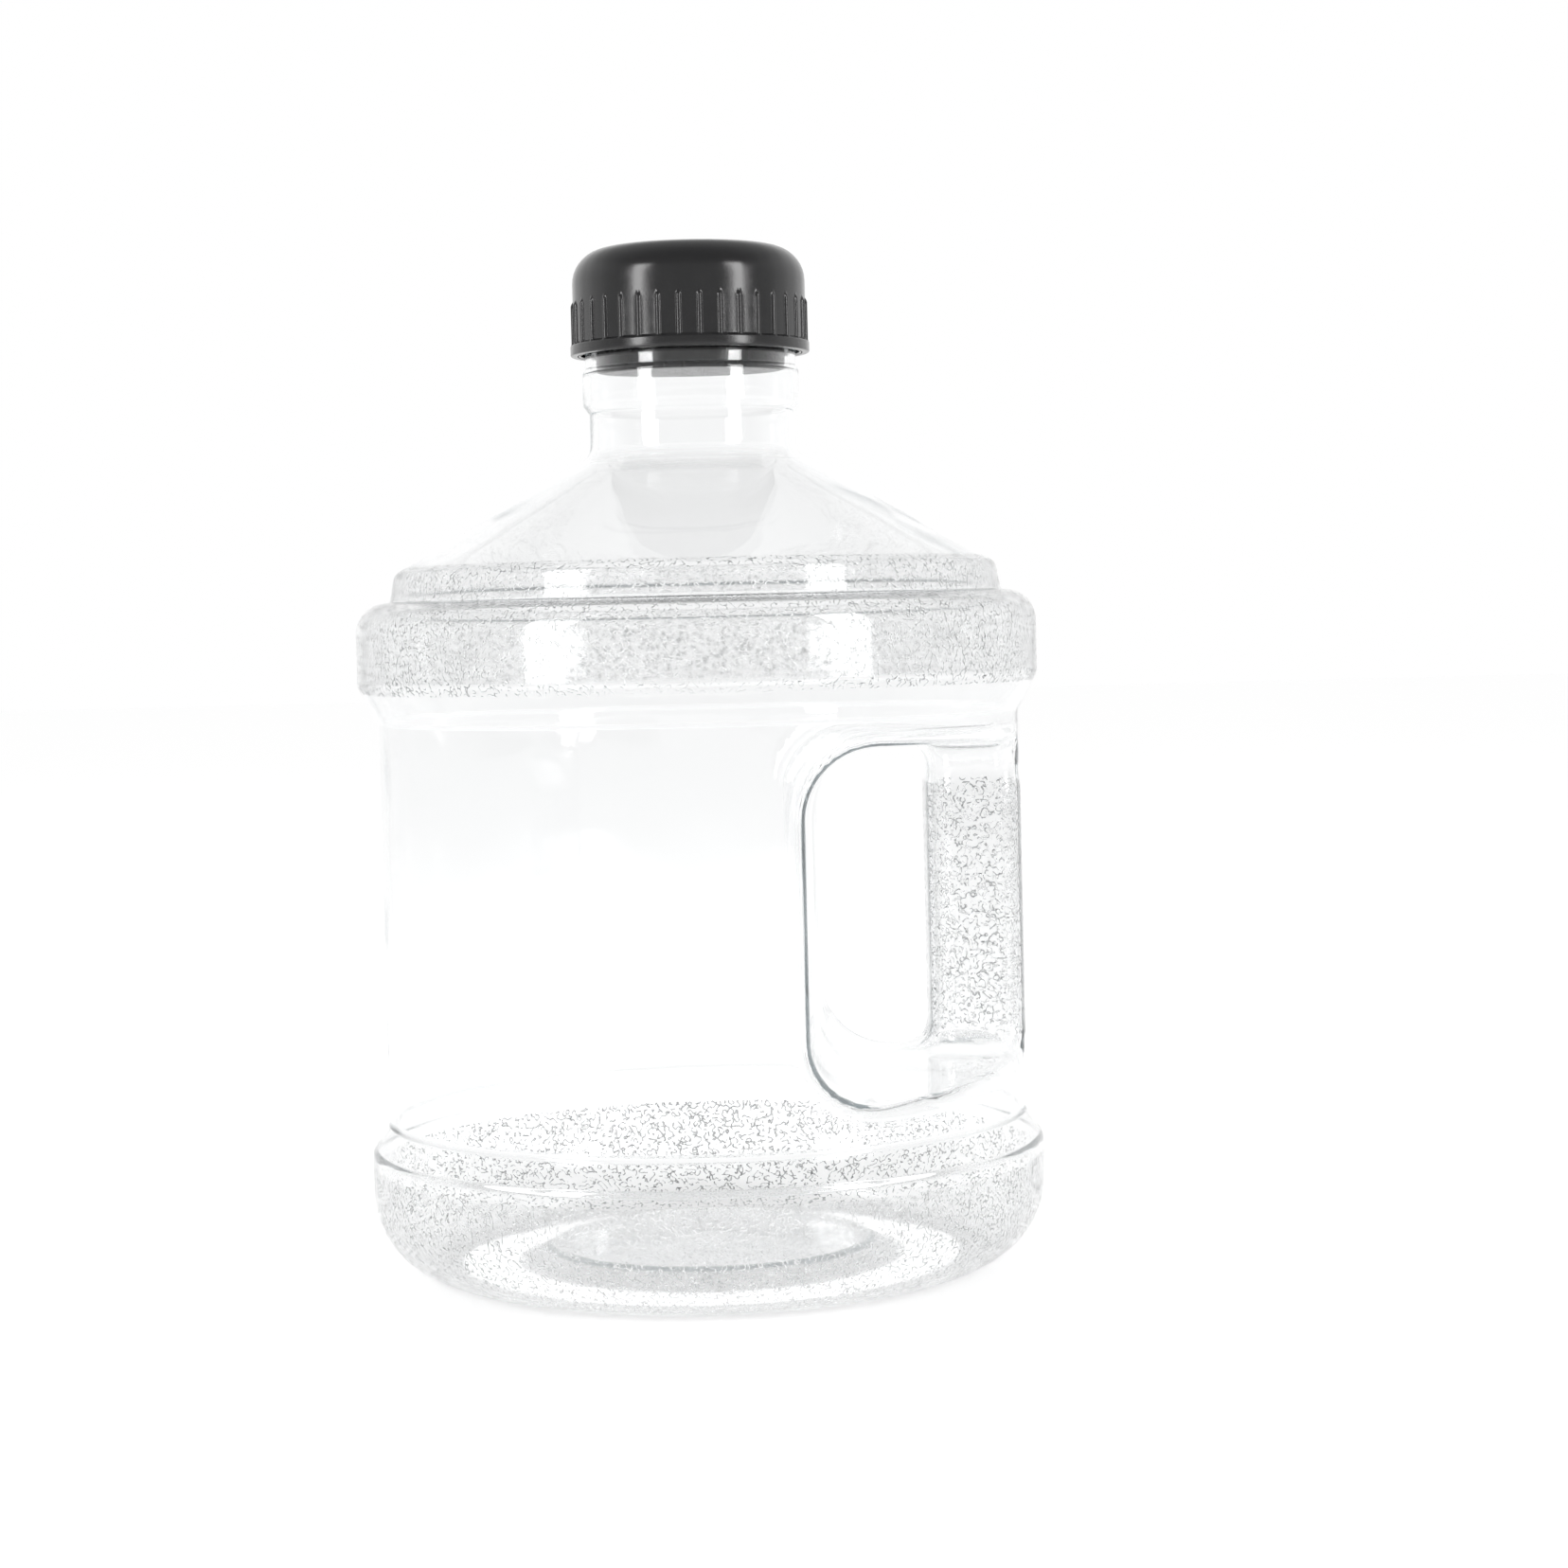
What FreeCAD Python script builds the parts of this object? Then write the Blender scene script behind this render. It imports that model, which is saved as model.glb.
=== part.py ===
import FreeCAD, Part
import math
import os

import Sketcher

# Large water jug: a one-piece blown bottle with a hollow handle inside its round
# outline, a ribbed screw cap, and a plug with a gasket that the cap lifts with it.
# Millimetres. Origin at the centre of the standing ring, +Z up, handle towards +X.

SIZES = {
    # bottle wall and body
    "wall": 1.5,
    "body_radius": 80.0,
    "body_bottom": 38.4,
    "body_top": 138.0,
    "body_end_rounding": 2.0,
    # base: standing ring, big lower corner and the push-up in the middle
    "base_radius": 84.3,
    "base_bevel_low": 31.4,
    "base_bevel_rounding": 3.0,
    "base_corner": 21.4,
    "push_up_radius": 48.0,
    "push_up_shelf": 41.0,
    "push_up_step": 4.5,
    "push_up_height": 6.5,
    "push_up_rounding": 3.0,
    # two rings under the sloping shoulder
    "ring_radius": 85.0,
    "ring_low": 147.4,
    "ring_top": 168.0,
    "ring_rounding": 7.6,
    "ring_low_rounding": 2.5,
    "upper_ring_foot": 76.4,
    "upper_ring_radius": 75.2,
    "upper_ring_top": 175.0,
    "upper_ring_rounding": 3.0,
    # neck
    "neck_radius": 25.5,
    "neck_foot": 203.5,
    "neck_flare": 5.0,
    "bead_radius": 27.1,
    "bead_foot": 213.9,
    "bead_low": 216.1,
    "bead_high": 224.0,
    "collar_radius": 26.4,
    "collar_low": 225.2,
    "collar_high": 229.4,
    "finish_radius": 25.6,
    "finish_low": 230.2,
    "rim_height": 247.5,
    "rim_rounding": 0.5,
    # handle recess, cut through from front to back, and the hollow handle in it
    "recess_left_mid": 29.7,
    "recess_left_face": 22.2,
    "recess_low_mid": 54.5,
    "recess_low_face": 45.4,
    "recess_top_mid": 130.5,
    "recess_top_face": 132.3,
    "recess_right": 100.0,
    "recess_depth": 92.0,
    "recess_corner": 17.0,
    "handle_inner_face": 56.6,
    "handle_half_depth": 14.5,
    "handle_corner": 8.0,
    "handle_root": 6.0,
    # screw thread, shared by neck and cap
    "thread_pitch": 5.0,
    "thread_rise": 10.0,
    "thread_start": 233.5,
    "thread_root_width": 2.6,
    "thread_crest_width": 0.9,
    "thread_embed": 0.4,
    "neck_thread_crest": 27.0,
    "cap_thread_crest": 25.95,
    # cap
    "cap_bottom": 228.5,
    "cap_height": 255.0,
    "cap_radius": 29.1,
    "cap_bore": 27.35,
    "cap_ceiling": 253.0,
    "cap_dome": 8.6,
    "cap_ceiling_corner": 3.2,
    "flange_edge": 0.6,
    "cap_dish_radius": 17.0,
    "cap_dish_depth": 0.3,
    "flange_radius": 29.9,
    "flange_top": 230.9,
    "flange_bevel_top": 231.6,
    "catch_radius": 25.2,
    "catch_low": 247.95,
    "catch_high": 248.35,
    "catch_slope": 0.6,
    "press_ring_inner": 22.3,
    "press_ring_outer": 24.0,
    "press_ring_bottom": 250.3,
    "rib_count": 36,
    "rib_radius": 0.7,
    "rib_centre": 28.95,
    "rib_low": 229.6,
    "rib_top": 241.6,
    # plug in the mouth, and its gasket
    "plug_bottom": 224.0,
    "plug_radius": 23.6,
    "plug_bore": 22.1,
    "plug_floor": 1.5,
    "plug_lead": 1.2,
    "plug_lip_radius": 23.85,
    "plug_lip_width": 0.8,
    "plug_lip_low": 234.0,
    "plug_lip_high": 240.0,
    "plug_flange_radius": 25.6,
    "plug_flange_low": 248.8,
    "plug_flange_top": 250.0,
    "gasket_inner": 23.7,
    "gasket_outer": 24.9,
    "gasket_bottom": 247.7,
}

SHEET = "dims"
SMALLEST_ROUNDING = 0.4
# how near two places, and how near to parallel two edges, count as the same
SAME_PLACE = 1e-4
PARALLEL = 1e-6
# how an outline turns at a corner
SHARP, OUTWARD, INWARD = "sharp", "outward", "inward"


class Length:
    """A size that keeps its number and the sheet expression that gives it."""

    def __init__(self, value, text):
        self.value = float(value)
        self.text = text

    def __add__(self, other):
        other = as_length(other)
        return Length(self.value + other.value, f"({self.text} + {other.text})")

    def __sub__(self, other):
        other = as_length(other)
        return Length(self.value - other.value, f"({self.text} - {other.text})")

    def __mul__(self, factor):
        return Length(self.value * factor, f"({self.text} * {factor:.6f})")

    def __neg__(self):
        return self * -1.0


def as_length(number):
    """Turns a plain number into a Length."""
    if isinstance(number, Length):
        return number
    return Length(number, f"{number:.6f}")


def size(name):
    """The sheet cell of that name, as a Length."""
    return Length(SIZES[name], f"{SHEET}.{name}")


def make_sheet(doc):
    """Writes the driving sizes into the spreadsheet, one alias each."""
    sheet = doc.addObject("Spreadsheet::Sheet", SHEET)
    for row, (name, value) in enumerate(SIZES.items(), start=1):
        sheet.set(f"A{row}", name)
        sheet.set(f"B{row}", str(value))
        sheet.setAlias(f"B{row}", name)
    doc.recompute()
    return sheet


def bind(thing, prop, length):
    """Ties one property to its sheet expression."""
    thing.setExpression(prop, as_length(length).text)


def new_body(doc, name):
    """A PartDesign body whose label is its name."""
    body = doc.addObject("PartDesign::Body", name)
    body.Label = name
    return body


def origin_plane(body, role):
    """One of the body's own origin planes."""
    return next(f for f in body.Origin.OriginFeatures if f.Role == role)


def new_sketch(body, name, role, offset=None):
    """A sketch on an origin plane, moved along the plane's normal by offset."""
    sketch = body.newObject("Sketcher::SketchObject", name)
    sketch.AttachmentSupport = [(origin_plane(body, role), "")]
    sketch.MapMode = "FlatFace"
    if offset is not None:
        bind(sketch, "AttachmentOffset.Base.z", offset)
    return sketch


def point(x, y):
    """A sketch point from two Lengths."""
    return FreeCAD.Vector(x.value, y.value, 0)


def add_bound(sketch, kind, where, length):
    """Adds a dimension and ties it to the sheet."""
    index = sketch.addConstraint(Sketcher.Constraint(kind, *where, length.value))
    sketch.setExpression(f"Constraints[{index}]", length.text)


def pin_point(sketch, geo, end, x, y):
    """Holds one end of a sketch edge at x, y from the sketch origin."""
    for kind, axis, length in (("DistanceX", -2, x), ("DistanceY", -1, y)):
        if length.value == 0:
            sketch.addConstraint(Sketcher.Constraint("PointOnObject", geo, end, axis))
        else:
            add_bound(sketch, kind, (-1, 1, geo, end), length)


def polygon(sketch, corners):
    """A closed outline of straight edges through the corners."""
    corners = [(as_length(x), as_length(y)) for x, y in corners]
    count = len(corners)
    for i, (x, y) in enumerate(corners):
        next_x, next_y = corners[(i + 1) % count]
        sketch.addGeometry(Part.LineSegment(point(x, y), point(next_x, next_y)))
    for i in range(count):
        sketch.addConstraint(Sketcher.Constraint("Coincident", i, 2, (i + 1) % count, 1))
    for i, (x, y) in enumerate(corners):
        pin_point(sketch, i, 1, x, y)


def arc(centre_x, centre_y, radius, start_deg, end_deg):
    """A circular arc in the sketch plane, counter-clockwise."""
    circle = Part.Circle(FreeCAD.Vector(centre_x, centre_y, 0), FreeCAD.Vector(0, 0, 1), radius)
    return Part.ArcOfCircle(circle, math.radians(start_deg), math.radians(end_deg))


def line(x1, y1, x2, y2):
    """A straight edge in the sketch plane."""
    return Part.LineSegment(FreeCAD.Vector(x1, y1, 0), FreeCAD.Vector(x2, y2, 0))


def join_smoothly(sketch, pairs):
    """Makes each pair of edge ends meet with no corner."""
    for geo_a, end_a, geo_b, end_b in pairs:
        sketch.addConstraint(Sketcher.Constraint("Tangent", geo_a, end_a, geo_b, end_b))


def revolve(body, sketch):
    """Turns a sketch on the XZ plane once round the Z axis."""
    turn = body.newObject("PartDesign::Revolution", sketch.Name + "_turned")
    turn.Profile = sketch
    turn.ReferenceAxis = (sketch, ["V_Axis"])
    turn.Angle = 360
    sketch.Document.recompute()
    return turn


def ring_edges(feature, radius, height):
    """Names of the full circles about Z of that radius and height."""
    found = []
    for i, edge in enumerate(feature.Shape.Edges, start=1):
        curve = edge.Curve
        if not isinstance(curve, Part.Circle) or abs(curve.Axis.z) < 1 - SAME_PLACE:
            continue
        if abs(curve.Radius - radius) < SAME_PLACE and abs(curve.Center.z - height) < SAME_PLACE:
            found.append(f"Edge{i}")
    return found


def round_corners(body, feature, corners):
    """Rounds turned corners, one fillet feature for each (name, x, z, radius)."""
    for name, x, z, radius in corners:
        edges = ring_edges(feature, x.value, z.value)
        if not edges:
            raise RuntimeError(f"no circle for {name} at {x.value}, {z.value}")
        fillet = body.newObject("PartDesign::Fillet", name)
        fillet.Base = (feature, edges)
        fillet.Radius = radius.value
        bind(fillet, "Radius", radius)
        body.Document.recompute()
        feature = fillet


def bottle_outline():
    """Outer outline of the bottle from rim to base centre: (radius, height, turn, rounding)."""
    floor = as_length(0)
    sharp = (SHARP, None)
    return [
        (size("finish_radius"), size("rim_height"), OUTWARD, size("rim_rounding")),
        (size("finish_radius"), size("finish_low"), *sharp),
        (size("collar_radius"), size("collar_high"), *sharp),
        (size("collar_radius"), size("collar_low"), *sharp),
        (size("bead_radius"), size("bead_high"), *sharp),
        (size("bead_radius"), size("bead_low"), *sharp),
        (size("neck_radius"), size("bead_foot"), *sharp),
        (size("neck_radius"), size("neck_foot"), INWARD, size("neck_flare")),
        (size("upper_ring_radius"), size("upper_ring_top"), OUTWARD, size("upper_ring_rounding")),
        (size("upper_ring_foot"), size("ring_top"), *sharp),
        (size("ring_radius"), size("ring_top"), OUTWARD, size("ring_rounding")),
        (size("ring_radius"), size("ring_low"), OUTWARD, size("ring_low_rounding")),
        (size("body_radius"), size("body_top"), INWARD, size("body_end_rounding")),
        (size("body_radius"), size("body_bottom"), INWARD, size("body_end_rounding")),
        (size("base_radius"), size("base_bevel_low"), OUTWARD, size("base_bevel_rounding")),
        (size("base_radius"), floor, OUTWARD, size("base_corner")),
        (size("push_up_radius"), floor, OUTWARD, size("push_up_rounding")),
        (size("push_up_shelf"), size("push_up_step"), INWARD, size("push_up_rounding")),
        (floor, size("push_up_height"), *sharp),
    ]


def unit(dx, dy):
    """The direction of a step in the outline's plane, one long."""
    length = math.hypot(dx, dy)
    return dx / length, dy / length


def inward_mitre(before, here, after):
    """How far a corner moves, per millimetre of wall, when the outline shrinks by the wall."""
    ax, ay = unit(here[0] - before[0], here[1] - before[1])
    bx, by = unit(after[0] - here[0], after[1] - here[1])
    # the outline runs clockwise, so the inside is to the right of each edge
    normal_a = (ay, -ax)
    normal_b = (by, -bx)
    turn = ax * by - ay * bx
    if abs(turn) < PARALLEL:
        return normal_a
    dot = 1.0 + normal_a[0] * normal_b[0] + normal_a[1] * normal_b[1]
    return (normal_a[0] + normal_b[0]) / dot, (normal_a[1] + normal_b[1]) / dot


def shrunk(outline, wall):
    """The same outline one wall further in, with each rounding kept concentric."""
    flat = [(r.value, z.value) for r, z, _, _ in outline]
    flat = [(flat[0][0] - 1, flat[0][1])] + flat + [(-1, flat[-1][1])]
    result = []
    for i, (r, z, turn, rounding) in enumerate(outline):
        mitre_r, mitre_z = inward_mitre(flat[i], flat[i + 1], flat[i + 2])
        if turn == INWARD:
            rounding = rounding + wall
        if turn == OUTWARD:
            rounding = rounding - wall
            if rounding.value < SMALLEST_ROUNDING:
                turn, rounding = SHARP, None
        result.append([r + wall * mitre_r, z + wall * mitre_z, turn, rounding])
    # the hollow runs out through the mouth, and reaches the axis at the middle of the base
    result[0][1] = outline[0][1] + wall
    result[-1][0] = as_length(0)
    return result


def recess_sketch(body, name, offset, left, low, top, radius):
    """Outline of the handle recess in a plane parallel to XZ: open to +X, round at the left."""
    sketch = new_sketch(body, name, "XZ_Plane", offset)
    right = size("recess_right")
    l, r, b, t, rad = left.value, right.value, low.value, top.value, radius.value
    sketch.addGeometry(line(l + rad, b, r, b))
    sketch.addGeometry(line(r, b, r, t))
    sketch.addGeometry(line(r, t, l + rad, t))
    sketch.addGeometry(arc(l + rad, t - rad, rad, 90, 180))
    sketch.addGeometry(line(l, t - rad, l, b + rad))
    sketch.addGeometry(arc(l + rad, b + rad, rad, 180, 270))
    for geo in (0, 1):
        sketch.addConstraint(Sketcher.Constraint("Coincident", geo, 2, geo + 1, 1))
    join_smoothly(sketch, [(2, 2, 3, 1), (3, 2, 4, 1), (4, 2, 5, 1), (5, 2, 0, 1)])
    sketch.addConstraint(Sketcher.Constraint("Horizontal", 0))
    sketch.addConstraint(Sketcher.Constraint("Horizontal", 2))
    sketch.addConstraint(Sketcher.Constraint("Vertical", 4))
    add_bound(sketch, "Radius", (3,), radius)
    add_bound(sketch, "Radius", (5,), radius)
    pin_point(sketch, 1, 1, right, low)
    pin_point(sketch, 1, 2, right, top)
    add_bound(sketch, "DistanceX", (-1, 1, 4, 1), left)
    return sketch


def handle_sketch(body, inset):
    """Section of the handle: flat sides, round corners, outer face on the bottle's own radius."""
    sketch = new_sketch(body, "handle_section", "XY_Plane")
    outer = size("body_radius") - inset
    left = size("handle_inner_face") + inset
    half = size("handle_half_depth") - inset
    radius = size("handle_corner") - inset
    big, x, w, rad = outer.value, left.value, half.value, radius.value
    # centre of each outer corner, where its circle touches both the side and the outer face
    corner_y = w - rad
    corner_x = math.sqrt((big - rad) ** 2 - corner_y**2)
    swing = math.degrees(math.atan2(corner_y, corner_x))
    sketch.addGeometry(arc(0, 0, big, -swing, swing))
    sketch.addGeometry(arc(corner_x, corner_y, rad, swing, 90))
    sketch.addGeometry(line(corner_x, w, x + rad, w))
    sketch.addGeometry(arc(x + rad, w - rad, rad, 90, 180))
    sketch.addGeometry(line(x, w - rad, x, rad - w))
    sketch.addGeometry(arc(x + rad, rad - w, rad, 180, 270))
    sketch.addGeometry(line(x + rad, -w, corner_x, -w))
    sketch.addGeometry(arc(corner_x, -corner_y, rad, 270, 360 - swing))
    last = 7
    joints = [(i, 2, i + 1, 1) for i in range(last)]
    join_smoothly(sketch, joints + [(last, 2, 0, 1)])
    sketch.addConstraint(Sketcher.Constraint("Coincident", 0, 3, -1, 1))
    sketch.addConstraint(Sketcher.Constraint("Vertical", 4))
    add_bound(sketch, "Radius", (0,), outer)
    for corner in (1, 3, 5, 7):
        add_bound(sketch, "Radius", (corner,), radius)
    add_bound(sketch, "DistanceX", (-1, 1, 4, 1), left)
    add_bound(sketch, "DistanceY", (-1, 1, 2, 1), half)
    add_bound(sketch, "DistanceY", (-1, 1, 6, 1), -half)
    return sketch


def bottle_form(doc, name, inset):
    """The bottle's solid form: whole for the outside, or one wall smaller for its hollow."""
    body = new_body(doc, name)
    outline = bottle_outline()
    if inset.value > 0:
        outline = shrunk(outline, inset)
    sketch = new_sketch(body, "outline", "XZ_Plane")
    rim = outline[0][1]
    polygon(sketch, [(0, rim)] + [(r, z) for r, z, _, _ in outline])
    feature = revolve(body, sketch)
    rounded = []
    for i, (r, z, turn, rounding) in enumerate(outline):
        if turn != SHARP:
            rounded.append((f"rounding_{i}", r, z, rounding))
    round_corners(body, feature, rounded)

    # the recess narrows from both faces to the parting plane at Y = 0
    depth = size("recess_depth")
    radius = size("recess_corner") + inset
    face = (
        size("recess_left_face") - inset,
        size("recess_low_face") - inset,
        size("recess_top_face") + inset,
        radius,
    )
    middle = (
        size("recess_left_mid") - inset,
        size("recess_low_mid") - inset,
        size("recess_top_mid") + inset,
        radius,
    )
    front = recess_sketch(body, "recess_front", depth, *face)
    centre = recess_sketch(body, "recess_centre", as_length(0), *middle)
    back = recess_sketch(body, "recess_back", -depth, *face)
    doc.recompute()
    recess = body.newObject("PartDesign::SubtractiveLoft", "recess")
    recess.Profile = front
    recess.Sections = [centre, back]
    recess.Ruled = True
    doc.recompute()

    section = handle_sketch(body, inset)
    section_low = size("recess_low_face") - size("handle_root")
    bind(section, "AttachmentOffset.Base.z", section_low)
    handle = body.newObject("PartDesign::Pad", "handle")
    handle.Profile = section
    length = size("recess_top_face") + size("handle_root") - section_low
    bind(handle, "Length", length)
    doc.recompute()
    return body


def thread(body, name, root, crest, outward):
    """A right-hand helical ridge about Z, of trapezoid section, starting at +X or at -X."""
    sketch = new_sketch(body, name + "_section", "XZ_Plane")
    middle = size("thread_start")
    wide = size("thread_root_width") * 0.5
    narrow = size("thread_crest_width") * 0.5
    if not outward:
        root = -root
        crest = -crest
    polygon(
        sketch,
        [
            (root, middle - wide),
            (crest, middle - narrow),
            (crest, middle + narrow),
            (root, middle + wide),
        ],
    )
    body.Document.recompute()
    ridge = body.newObject("PartDesign::AdditiveHelix", name)
    ridge.Profile = sketch
    ridge.ReferenceAxis = (sketch, ["V_Axis"])
    ridge.Mode = "pitch-height-angle"
    bind(ridge, "Pitch", size("thread_pitch"))
    bind(ridge, "Height", size("thread_rise"))
    ridge.LeftHanded = False
    ridge.Reversed = False
    body.Document.recompute()
    return ridge


def make_bottle(doc):
    """One blown bottle: outer form with the neck thread, less the hollow."""
    outside = bottle_form(doc, "bottle_outside", as_length(0))
    thread_root = size("finish_radius") - size("thread_embed")
    thread(outside, "neck_thread", thread_root, size("neck_thread_crest"), True)
    hollow = bottle_form(doc, "bottle_hollow", size("wall"))
    bottle = doc.addObject("Part::Cut", "bottle_body")
    bottle.Label = "bottle_body"
    bottle.Base = outside
    bottle.Tool = hollow
    doc.recompute()
    return bottle


def make_cap(doc):
    """Screw cap: domed shell, foot flange, grip ribs, thread, catch ring and pressing ring."""
    body = new_body(doc, "cap_shell")
    sketch = new_sketch(body, "outline", "XZ_Plane")
    bore = size("cap_bore")
    ceiling = size("cap_ceiling")
    polygon(
        sketch,
        [
            (0, size("cap_height") - size("cap_dish_depth")),
            (size("cap_dish_radius"), size("cap_height") - size("cap_dish_depth")),
            (size("cap_dish_radius") + size("cap_dish_depth"), size("cap_height")),
            (size("cap_radius"), size("cap_height")),
            (size("cap_radius"), size("flange_bevel_top")),
            (size("flange_radius"), size("flange_top")),
            (size("flange_radius"), size("cap_bottom")),
            (bore, size("cap_bottom")),
            (bore, size("catch_low") - size("catch_slope")),
            (size("catch_radius"), size("catch_low")),
            (size("catch_radius"), size("catch_high")),
            (bore, size("catch_high") + size("catch_slope")),
            (bore, ceiling),
            (size("press_ring_outer"), ceiling),
            (size("press_ring_outer"), size("press_ring_bottom")),
            (size("press_ring_inner"), size("press_ring_bottom")),
            (size("press_ring_inner"), ceiling),
            (0, ceiling),
        ],
    )
    feature = revolve(body, sketch)
    round_corners(
        body,
        feature,
        [
            ("dome", size("cap_radius"), size("cap_height"), size("cap_dome")),
            ("ceiling_corner", bore, ceiling, size("cap_ceiling_corner")),
            ("flange_edge", size("flange_radius"), size("cap_bottom"), size("flange_edge")),
        ],
    )

    rib_sketch = new_sketch(body, "rib_section", "XY_Plane")
    # the first rib stands half a rib spacing round from +X
    half_spacing = FreeCAD.Rotation(FreeCAD.Vector(0, 0, 1), 180.0 / SIZES["rib_count"])
    rib_sketch.AttachmentOffset = FreeCAD.Placement(FreeCAD.Vector(0, 0, SIZES["rib_low"]), half_spacing)
    bind(rib_sketch, "AttachmentOffset.Base.z", size("rib_low"))
    rib_middle = point(size("rib_centre"), as_length(0))
    rib_sketch.addGeometry(Part.Circle(rib_middle, FreeCAD.Vector(0, 0, 1), SIZES["rib_radius"]))
    rib_sketch.addConstraint(Sketcher.Constraint("PointOnObject", 0, 3, -1))
    add_bound(rib_sketch, "DistanceX", (-1, 1, 0, 3), size("rib_centre"))
    add_bound(rib_sketch, "Radius", (0,), size("rib_radius"))
    rib = body.newObject("PartDesign::Pad", "rib")
    rib.Profile = rib_sketch
    bind(rib, "Length", size("rib_top") - size("rib_low"))
    doc.recompute()
    ribs = body.newObject("PartDesign::PolarPattern", "ribs")
    ribs.Originals = [rib]
    ribs.Axis = (rib_sketch, ["N_Axis"])
    ribs.Angle = 360
    bind(ribs, "Occurrences", size("rib_count"))
    body.Tip = ribs
    doc.recompute()
    thread(body, "cap_thread", bore + size("thread_embed"), size("cap_thread_crest"), False)
    return body


def make_plug(doc):
    """Cup-shaped plug: floor, sleeve with two wiping lips, and a flange over the rim."""
    body = new_body(doc, "inner_plug")
    sketch = new_sketch(body, "outline", "XZ_Plane")
    bottom = size("plug_bottom")
    sleeve = size("plug_radius")
    lead = size("plug_lead")
    floor = bottom + size("plug_floor")
    corners = [(0, bottom), (sleeve - lead, bottom), (sleeve, bottom + lead * 2)]
    for lip in (size("plug_lip_low"), size("plug_lip_high")):
        half = size("plug_lip_width") * 0.5
        corners.append((sleeve, lip - half))
        corners.append((size("plug_lip_radius"), lip))
        corners.append((sleeve, lip + half))
    corners += [
        (sleeve, size("plug_flange_low")),
        (size("plug_flange_radius"), size("plug_flange_low")),
        (size("plug_flange_radius"), size("plug_flange_top")),
        (size("plug_bore"), size("plug_flange_top")),
        (size("plug_bore") - lead * 0.5, floor),
        (0, floor),
    ]
    polygon(sketch, corners)
    revolve(body, sketch)
    return body


def make_gasket(doc):
    """Flat rubber ring round the plug, between its flange and the rim."""
    body = new_body(doc, "rim_gasket")
    sketch = new_sketch(body, "section", "XZ_Plane")
    polygon(
        sketch,
        [
            (size("gasket_inner"), size("gasket_bottom")),
            (size("gasket_outer"), size("gasket_bottom")),
            (size("gasket_outer"), size("plug_flange_low")),
            (size("gasket_inner"), size("plug_flange_low")),
        ],
    )
    revolve(body, sketch)
    return body


def check_document(doc):
    """Stops if any object of the document failed to recompute."""
    for thing in doc.Objects:
        states = set(thing.State)
        if states & {"Invalid", "Error"}:
            raise RuntimeError(f"{thing.Name} is {sorted(states)}")


def check_part(part):
    """Stops unless the sub-part is one valid solid."""
    shape = part.Shape
    if shape.isNull() or not shape.isValid():
        raise RuntimeError(f"{part.Label} has no valid shape")
    box = shape.optimalBoundingBox(False)
    corners = [box.XMin, box.YMin, box.ZMin, box.XMax, box.YMax, box.ZMax]
    volume = round(shape.Volume / 1000, 2)
    print(part.Label, len(shape.Solids), "solid,", volume, "cm3,", [round(c, 2) for c in corners])


def main():
    """Builds the document, checks it, and writes one STEP file for each sub-part."""
    doc = FreeCAD.newDocument("water_jug")
    make_sheet(doc)
    parts = [make_bottle(doc), make_cap(doc), make_plug(doc), make_gasket(doc)]
    doc.recompute()
    check_document(doc)
    for part in parts:
        check_part(part)
    os.makedirs("parts", exist_ok=True)
    for part in parts:
        part.Shape.exportStep(f"parts/{part.Label}.step")


main()
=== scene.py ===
import math

import bmesh
import bpy
import numpy as np
from mathutils import Matrix, Vector


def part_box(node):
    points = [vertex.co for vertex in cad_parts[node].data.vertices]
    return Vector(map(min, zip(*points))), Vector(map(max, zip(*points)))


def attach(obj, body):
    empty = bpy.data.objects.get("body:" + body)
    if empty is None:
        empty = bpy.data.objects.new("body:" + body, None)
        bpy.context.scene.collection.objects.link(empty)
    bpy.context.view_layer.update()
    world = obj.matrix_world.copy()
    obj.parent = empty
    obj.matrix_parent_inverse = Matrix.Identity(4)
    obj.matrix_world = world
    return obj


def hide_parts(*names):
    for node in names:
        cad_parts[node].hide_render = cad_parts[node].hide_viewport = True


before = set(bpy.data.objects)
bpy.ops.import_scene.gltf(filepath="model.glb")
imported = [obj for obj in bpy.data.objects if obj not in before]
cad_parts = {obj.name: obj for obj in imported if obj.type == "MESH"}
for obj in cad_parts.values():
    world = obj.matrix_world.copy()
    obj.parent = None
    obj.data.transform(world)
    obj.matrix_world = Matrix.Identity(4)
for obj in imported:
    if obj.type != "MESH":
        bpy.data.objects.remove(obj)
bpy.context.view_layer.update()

# Large water jug: a blown bottle in clear plastic, a dark ribbed screw cap, the plug that
# the cap lifts out, and the plug's gasket. Lengths here are in millimetres, in the packed
# model's frame, and outlines are (radius, height, rounding) corners. Net.piece turns them
# into metres.

MM = 0.001
TURN = 2 * math.pi

# ---------------------------------------------------------------- sizes


def node_mm(node):
    """Half width, lowest and highest point of a CAD node, in millimetres."""
    low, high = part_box(node)
    return (high[0] - low[0]) / 2 / MM, low[2] / MM, high[2] / MM


RING_R, _, RIM_Z = node_mm("bottle_body")
FLANGE_R, CAP_LOW, CAP_TOP = node_mm("cap_shell")
PLUG_FLANGE_R, PLUG_LOW, PLUG_TOP = node_mm("inner_plug")
GASKET_R, GASKET_LOW, GASKET_TOP = node_mm("rim_gasket")

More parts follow.
